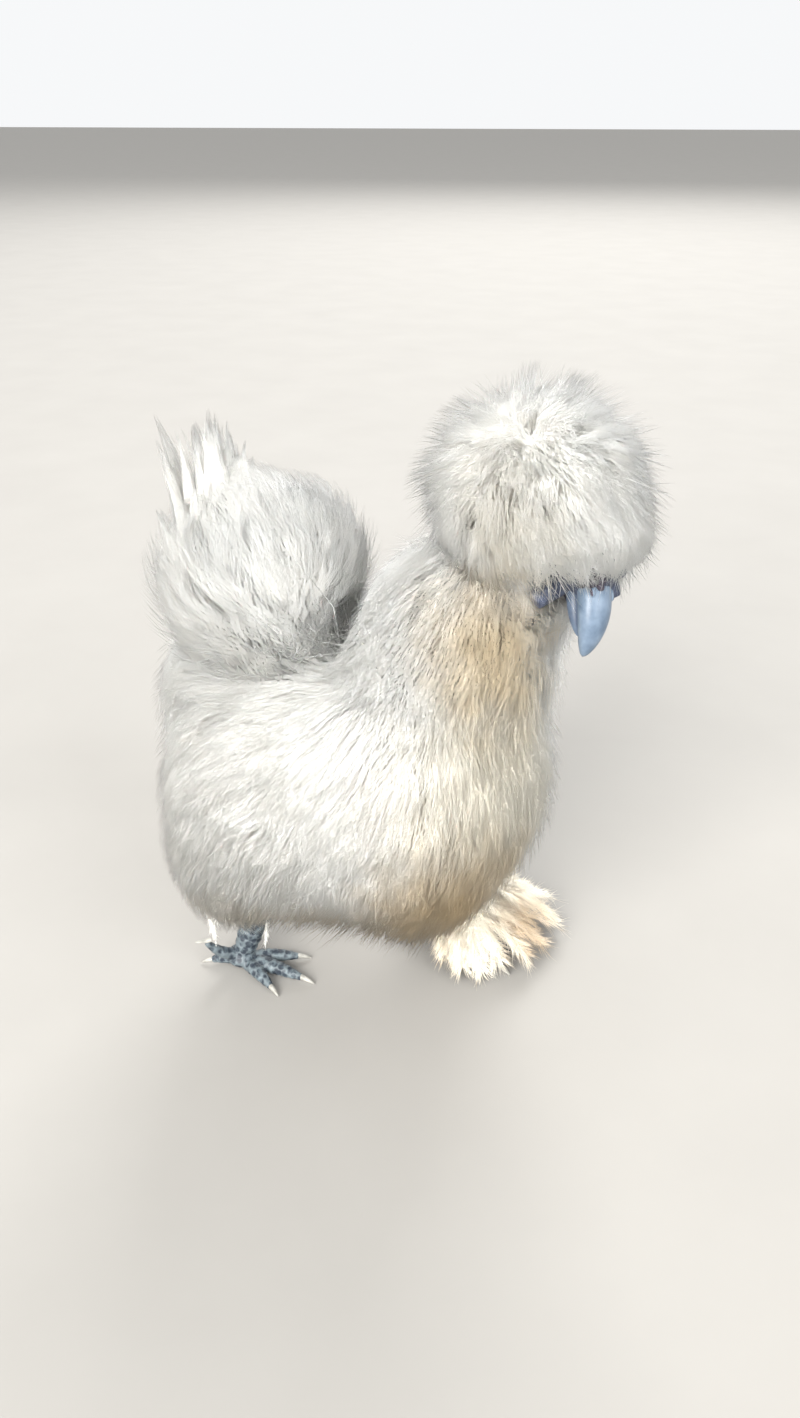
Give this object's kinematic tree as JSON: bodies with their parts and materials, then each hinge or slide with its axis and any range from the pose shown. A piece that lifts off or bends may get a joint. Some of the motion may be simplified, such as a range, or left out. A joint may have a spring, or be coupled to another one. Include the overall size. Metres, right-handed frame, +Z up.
{
  "type": "silkie chicken",
  "caption": "Still, life-size white silkie hen in mid step: round powder-puff crest, cushion tail, fluffy body, slate beak, feathered five-toed feet.",
  "frame": {"origin": "on the floor, under the middle of the bird's whole box", "axes": "+X the way the body faces, +Y its left, +Z up"},
  "size_m": [0.2224, 0.1578, 0.3075],
  "materials": {
    "plumage": "soft silky down, matt, cool white on crest and tail, cream on neck and breast, tan at the belly fringe and feet",
    "skin": "dark slate skin with fine folds",
    "beak": "slate-blue horn, slightly glossy",
    "comb": "dark mulberry pebbled skin",
    "earlobe": "turquoise-grey smooth skin",
    "eye": "wet black",
    "scutes": "dark slate scales with paler edges",
    "claw": "pale grey horn"
  },
  "bodies": {
    "root": {"torso": "plumage", "neck": "plumage", "crest": "plumage", "tail": "plumage", "wing_left": "plumage", "wing_right": "plumage", "thigh_left": "plumage", "thigh_right": "plumage", "head": "skin", "beak_upper": "beak", "beak_lower": "beak", "comb": "comb", "wattle_left": "comb", "wattle_right": "comb", "earlobe_left": "earlobe", "earlobe_right": "earlobe", "eye_left": "eye", "eye_right": "eye", "shank_left": "scutes", "shank_right": "scutes", "foot_left": "scutes", "foot_right": "scutes", "claw_middle_left": "claw", "claw_inner_left": "claw", "claw_outer_left": "claw", "claw_hind_left": "claw", "claw_fifth_left": "claw", "claw_middle_right": "claw", "claw_inner_right": "claw", "claw_outer_right": "claw", "claw_hind_right": "claw", "claw_fifth_right": "claw"}
  },
  "joints": []
}
